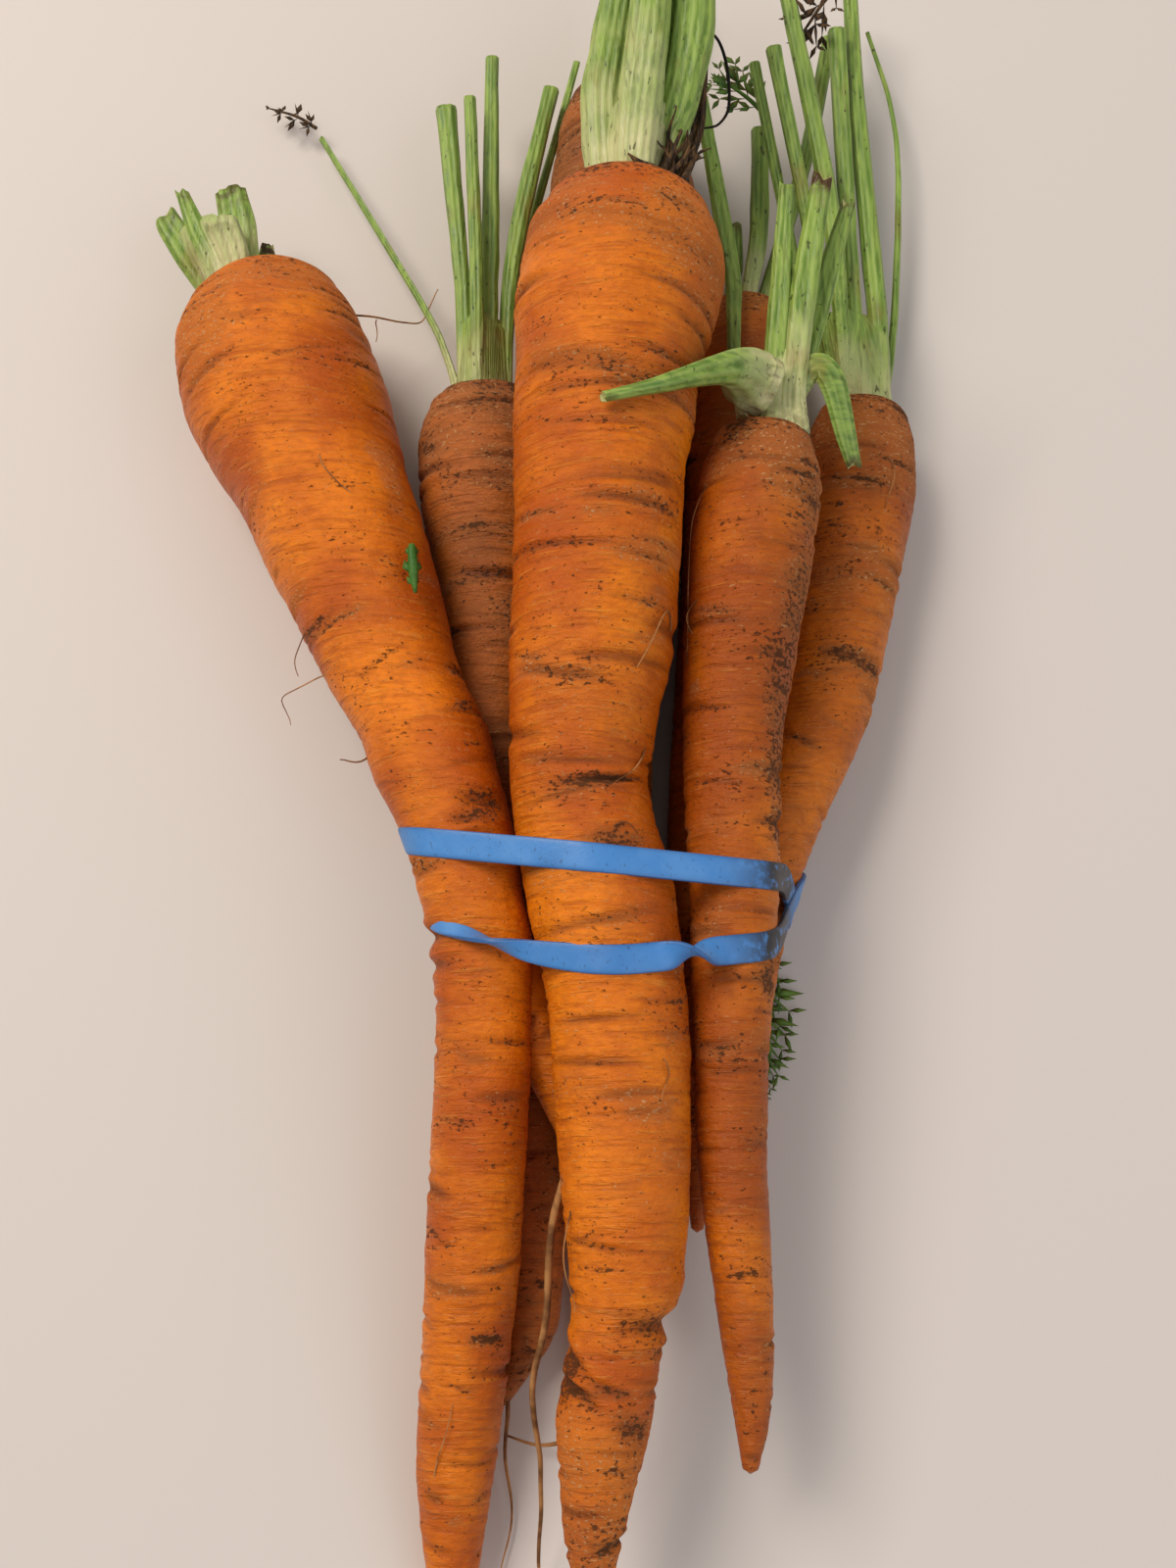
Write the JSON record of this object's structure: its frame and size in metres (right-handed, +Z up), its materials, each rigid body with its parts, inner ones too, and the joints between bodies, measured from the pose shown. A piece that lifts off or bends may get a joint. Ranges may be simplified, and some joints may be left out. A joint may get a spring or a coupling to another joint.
{
  "type": "bunch of carrots",
  "caption": "Bunch of unwashed carrots with short cut stalks, one root forked, laid in two loose layers and held round the waist by a doubled blue rubber band.",
  "frame": {"origin": "bottom centre of the bunch's bounding box, on the table", "axes": "+Z up from the table, +Y along the roots towards the crowns and stalks (the longest extent), +X to the right seen from above with the crowns away from the viewer"},
  "size_m": [0.1336, 0.2932, 0.0576],
  "materials": {
    "carrot_skin": "thin damp carrot skin with soil specks, satin",
    "muddy_carrot_skin": "carrot skin under a dry film of soil, matte",
    "green_stalk": "ribbed green leaf stalk, pale at its base, satin",
    "dry_plant": "withered brown leaf and stalk, matte",
    "green_frond": "soft dark green leaf, satin",
    "blue_rubber": "flat cut rubber band, dusty matte"
  },
  "bodies": {
    "root": {"root_forked": "carrot_skin", "root_center": "carrot_skin", "root_muddy": "muddy_carrot_skin", "root_small": "carrot_skin", "root_right": "carrot_skin", "root_long": "muddy_carrot_skin", "root_hidden": "carrot_skin", "rubber_band": "blue_rubber", "stalk_forked_1": "green_stalk", "stalk_forked_2": "green_stalk", "stalk_forked_3": "green_stalk", "stalk_forked_4": "green_stalk", "stalk_forked_5": "green_stalk", "stalk_center_1": "green_stalk", "stalk_center_2": "green_stalk", "stalk_center_3": "green_stalk", "stalk_center_4": "green_stalk", "dry_sheath_center": "dry_plant", "dry_curl_center": "dry_plant", "stalk_muddy_1": "green_stalk", "stalk_muddy_2": "green_stalk", "stalk_muddy_3": "green_stalk", "stalk_muddy_4": "green_stalk", "stalk_muddy_5": "green_stalk", "dry_stalk_muddy": "dry_plant", "stalk_small_1": "green_stalk", "stalk_small_2": "green_stalk", "stalk_small_3": "green_stalk", "broken_stalk_left": "green_stalk", "broken_stalk_right": "green_stalk", "outer_stalk_small": "green_stalk", "stalk_right_1": "green_stalk", "stalk_right_2": "green_stalk", "stalk_right_3": "green_stalk", "stalk_right_4": "green_stalk", "stalk_right_5": "green_stalk", "stalk_right_6": "green_stalk", "stalk_long_1": "green_stalk", "stalk_long_2": "green_stalk", "stalk_hidden_1": "green_stalk", "stalk_hidden_2": "green_stalk", "stalk_hidden_3": "green_stalk", "frond_small": "green_frond", "frond_hidden": "green_frond", "dry_leaf_right": "dry_plant", "dry_leaf_muddy": "dry_plant", "leaf_scrap_forked": "green_frond"}
  },
  "joints": []
}
